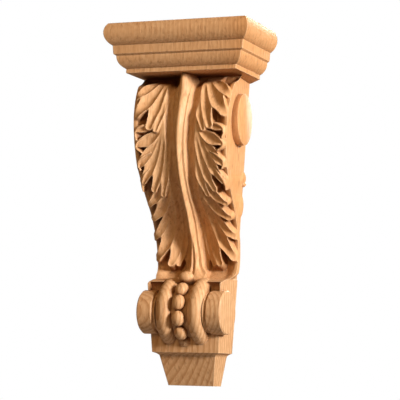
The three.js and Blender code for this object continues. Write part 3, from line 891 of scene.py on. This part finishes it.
def paint_crest_highlight_and_hollow_shade(kit, base):
    """Painted highlight on open crests and painted shade in hollows."""
    turn = kit.node("ShaderNodeVectorMath", operation="DOT_PRODUCT")
    normal = kit.node("ShaderNodeNewGeometry").outputs["Normal"]
    kit.feed(turn.inputs, (kit.rounded(CREST_RADIUS), normal))
    hollow = kit.node("ShaderNodeAmbientOcclusion", samples=HOLLOW_SAMPLES)
    hollow.inputs["Distance"].default_value = HOLLOW_REACH
    openness = hollow.outputs["AO"]
    crest = kit.span(turn.outputs["Value"], CREST_TURN, CREST_HIGHLIGHT_TINT, 0.0)
    # Painted highlight: paler where the bevelled normal turns on open crests.
    base = kit.tint(kit.maths("MULTIPLY", crest, kit.span(openness, CREST_OPEN)), base, PAINTED_CREST_HIGHLIGHT)
    # Painted shade: darker where the occlusion test finds hollows.
    return kit.tint(kit.span(openness, HOLLOW_SPAN, HOLLOW_SHADE_TINT, 0.0), base, PAINTED_HOLLOW_SHADE)


def grain_relief(kit, late, fibre, mottle):
    """Normal with softened arrises and a fine grain."""
    grain = kit.maths("MULTIPLY", fibre, FIBRE_RELIEF)
    grain = kit.maths("ADD", grain, kit.maths("MULTIPLY", late, RING_RELIEF))
    grain = kit.maths("ADD", grain, kit.maths("MULTIPLY", mottle, MOTTLE_RELIEF))
    bump = kit.node("ShaderNodeBump")
    targets = [bump.inputs[name] for name in ("Strength", "Distance", "Height", "Normal")]
    kit.feed(targets, (BUMP_STRENGTH, BUMP_DISTANCE, grain, kit.rounded(ARRIS_RADIUS)))
    return bump.outputs["Normal"]


def wood_material():
    """Pale beech: rings about a distant heart, fibres, short flecks and painted shade in recesses."""
    material = bpy.data.materials.new("beech")
    material.use_nodes = True
    kit = Shading(material.node_tree)
    split = kit.node("ShaderNodeSeparateXYZ")
    kit.feed(split.inputs, (kit.place,))
    radius, late = growth_rings(kit, split)
    fibre = kit.noise(*FIBRE_NOISE)
    mottle = kit.noise(*MOTTLE_NOISE)
    colour = paint_crest_highlight_and_hollow_shade(kit, grain_colour(kit, split, radius, late, fibre, mottle))
    normal = grain_relief(kit, late, fibre, mottle)
    roughness = kit.span(fibre, ROUGH_SPAN, *ROUGHNESS)
    shader = kit.nodes["Principled BSDF"]
    targets = [shader.inputs[name] for name in ("Base Color", "Normal", "Roughness", "Specular IOR Level")]
    kit.feed(targets, (colour, normal, roughness, SPECULAR))
    return material


def area_light(name, place, size, power, colour):
    data = bpy.data.lights.new(name, "AREA")
    data.shape = "SQUARE"
    data.size = size
    data.energy = power
    data.color = colour
    data.spread = math.radians(LIGHT_SPREAD_DEGREES)
    light = bpy.data.objects.new(name, data)
    light.location = place
    aim = Vector(LIGHT_TARGET) - Vector(place)
    light.rotation_euler = aim.to_track_quat("-Z", "Y").to_euler()
    bpy.context.collection.objects.link(light)


def studio():
    """Warm dim surroundings, which the camera sees as a white backdrop, and the lights."""
    world = bpy.data.worlds.new("studio")
    world.use_nodes = True
    bpy.context.scene.world = world
    nodes = world.node_tree.nodes
    links = world.node_tree.links
    ambient = nodes["Background"]
    ambient.inputs["Color"].default_value = AMBIENT_COLOUR
    ambient.inputs["Strength"].default_value = AMBIENT_STRENGTH
    backdrop = nodes.new("ShaderNodeBackground")
    backdrop.inputs["Color"].default_value = BACKDROP_COLOUR
    backdrop.inputs["Strength"].default_value = BACKDROP_STRENGTH
    path = nodes.new("ShaderNodeLightPath")
    mix = nodes.new("ShaderNodeMixShader")
    links.new(path.outputs["Is Camera Ray"], mix.inputs["Fac"])
    links.new(ambient.outputs["Background"], mix.inputs[1])
    links.new(backdrop.outputs["Background"], mix.inputs[2])
    links.new(mix.outputs["Shader"], nodes["World Output"].inputs["Surface"])
    for light in LIGHTS:
        area_light(*light)


def floor_stage():
    """Pale floor, with a glow that only the camera sees."""
    mesh = bpy.data.meshes.new("floor")
    plan = ((-1, -1), (1, -1), (1, 1), (-1, 1))
    mesh.from_pydata([(x * FLOOR_HALF, y * FLOOR_HALF, FLOOR_Z) for x, y in plan], [], [(0, 1, 2, 3)])
    floor = bpy.data.objects.new("floor", mesh)
    bpy.context.collection.objects.link(floor)
    material = bpy.data.materials.new("pale floor")
    material.use_nodes = True
    tree = material.node_tree
    shader = tree.nodes["Principled BSDF"]
    shader.inputs["Base Color"].default_value = FLOOR_COLOUR
    shader.inputs["Roughness"].default_value = FLOOR_ROUGHNESS
    shader.inputs["Emission Color"].default_value = FLOOR_GLOW
    path = tree.nodes.new("ShaderNodeLightPath")
    tree.links.new(path.outputs["Is Camera Ray"], shader.inputs["Emission Strength"])
    mesh.materials.append(material)


def camera():
    data = bpy.data.cameras.new("camera")
    data.lens = CAMERA_LENS
    data.sensor_width = CAMERA_SENSOR
    data.dof.use_dof = False
    eye = bpy.data.objects.new("camera", data)
    azimuth = math.radians(CAMERA_AZIMUTH)
    place = Vector((math.sin(azimuth) * CAMERA_DISTANCE, -math.cos(azimuth) * CAMERA_DISTANCE, CAMERA_Z))
    target = Vector(CAMERA_TARGET)
    aim = (target - place).to_track_quat("-Z", "Y").to_matrix().to_4x4()
    roll = Matrix.Rotation(math.radians(CAMERA_ROLL), 4, "Z")
    lift = Vector((0.0, 0.0, -HEIGHT / 2))
    eye.matrix_world = Matrix.Translation((place + lift) * MM) @ aim @ roll
    bpy.context.collection.objects.link(eye)
    bpy.context.scene.camera = eye


carving = carve()
carving.data.materials.clear()
carving.data.materials.append(wood_material())
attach(carving, "root")
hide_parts("capital")
floor_stage()
studio()
camera()
bpy.context.scene.view_settings.view_transform = "Standard"
bpy.context.scene.view_settings.look = "None"
